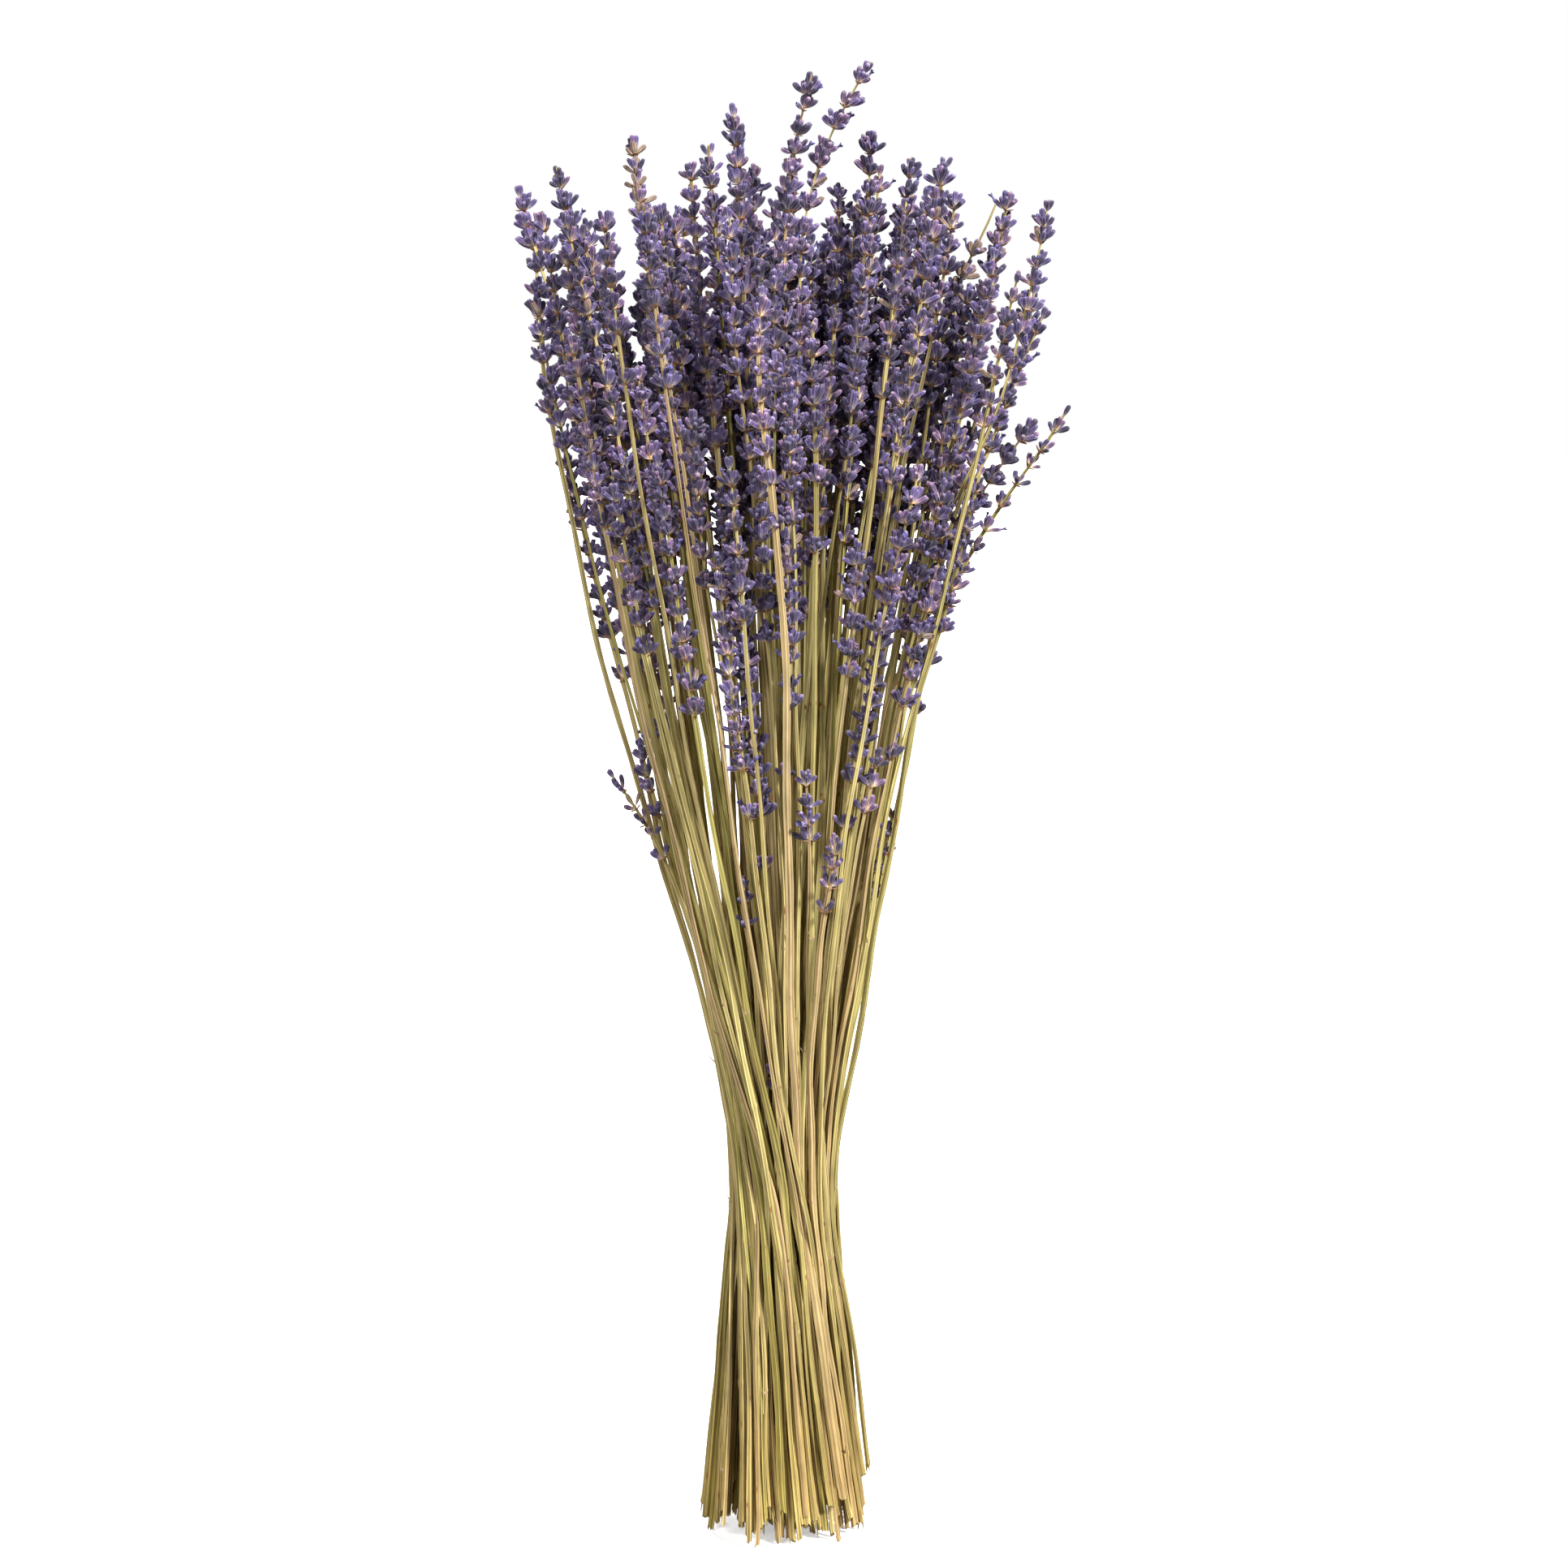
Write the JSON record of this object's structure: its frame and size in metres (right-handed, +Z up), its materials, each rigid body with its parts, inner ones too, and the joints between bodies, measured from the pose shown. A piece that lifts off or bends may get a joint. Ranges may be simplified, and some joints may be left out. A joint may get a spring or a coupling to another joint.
{
  "type": "bunch of dried lavender",
  "caption": "Bunch of dried lavender: bare ribbed stems pinched at a hidden inner tie, turned and splayed so that it stands on its cut ends, with a loose head of violet flower spikes.",
  "frame": {"origin": "middle of the bunch's own box, on the surface that its cut ends stand on", "axes": "+Z up along the bunch, from the cut ends to the flower heads; -Y is the front"},
  "size_m": [0.1682, 0.1342, 0.45],
  "materials": {
    "dried_flower": "matte dried calyces: violet-grey and ribbed, with darker toothed rims and pale straw bases",
    "dried_stem": "satin dried stems: straw-green and square, with pale and dark ribs, some brown or tan",
    "twine": "matte natural twine"
  },
  "bodies": {
    "root": {"inner_tie": "twine", "sprig_back_01": "dried_flower", "sprig_back_02": "dried_flower", "sprig_back_03": "dried_flower", "sprig_back_04": "dried_flower", "sprig_back_05": "dried_flower", "sprig_back_06": "dried_flower", "sprig_back_07": "dried_flower", "sprig_back_08": "dried_flower", "sprig_back_09": "dried_flower", "sprig_back_10": "dried_flower", "sprig_back_11": "dried_flower", "sprig_back_12": "dried_flower", "sprig_back_13": "dried_flower", "sprig_back_14": "dried_flower", "sprig_back_15": "dried_flower", "sprig_back_16": "dried_flower", "sprig_back_17": "dried_flower", "sprig_back_18": "dried_flower", "sprig_front_01": "dried_flower", "sprig_front_02": "dried_flower", "sprig_front_03": "dried_flower", "sprig_front_04": "dried_flower", "sprig_front_05": "dried_flower", "sprig_front_06": "dried_flower", "sprig_front_07": "dried_flower", "sprig_front_08": "dried_flower", "sprig_front_09": "dried_flower", "sprig_low_01": "dried_stem", "sprig_low_02": "dried_stem", "sprig_low_03": "dried_stem", "sprig_low_04": "dried_stem", "sprig_low_05": "dried_stem", "sprig_low_06": "dried_stem", "sprig_low_07": "dried_stem", "sprig_low_08": "dried_stem", "sprig_right_01": "dried_flower", "sprig_right_02": "dried_flower", "sprig_right_03": "dried_flower", "sprig_tall_01": "dried_flower", "sprig_tall_02": "dried_flower", "sprig_tall_03": "dried_flower", "sprig_tall_04": "dried_flower", "sprig_tall_05": "dried_flower", "sprig_tall_06": "dried_flower", "sprig_tall_07": "dried_flower", "sprig_tall_08": "dried_flower", "sprig_tall_09": "dried_flower", "sprig_tall_10": "dried_flower", "sprig_tall_11": "dried_flower", "sprig_tall_12": "dried_flower", "sprig_tall_13": "dried_flower", "sprig_tall_14": "dried_flower", "sprig_tall_15": "dried_flower", "sprig_tall_16": "dried_flower", "sprig_tall_17": "dried_flower", "sprig_tall_18": "dried_flower"}
  },
  "joints": []
}
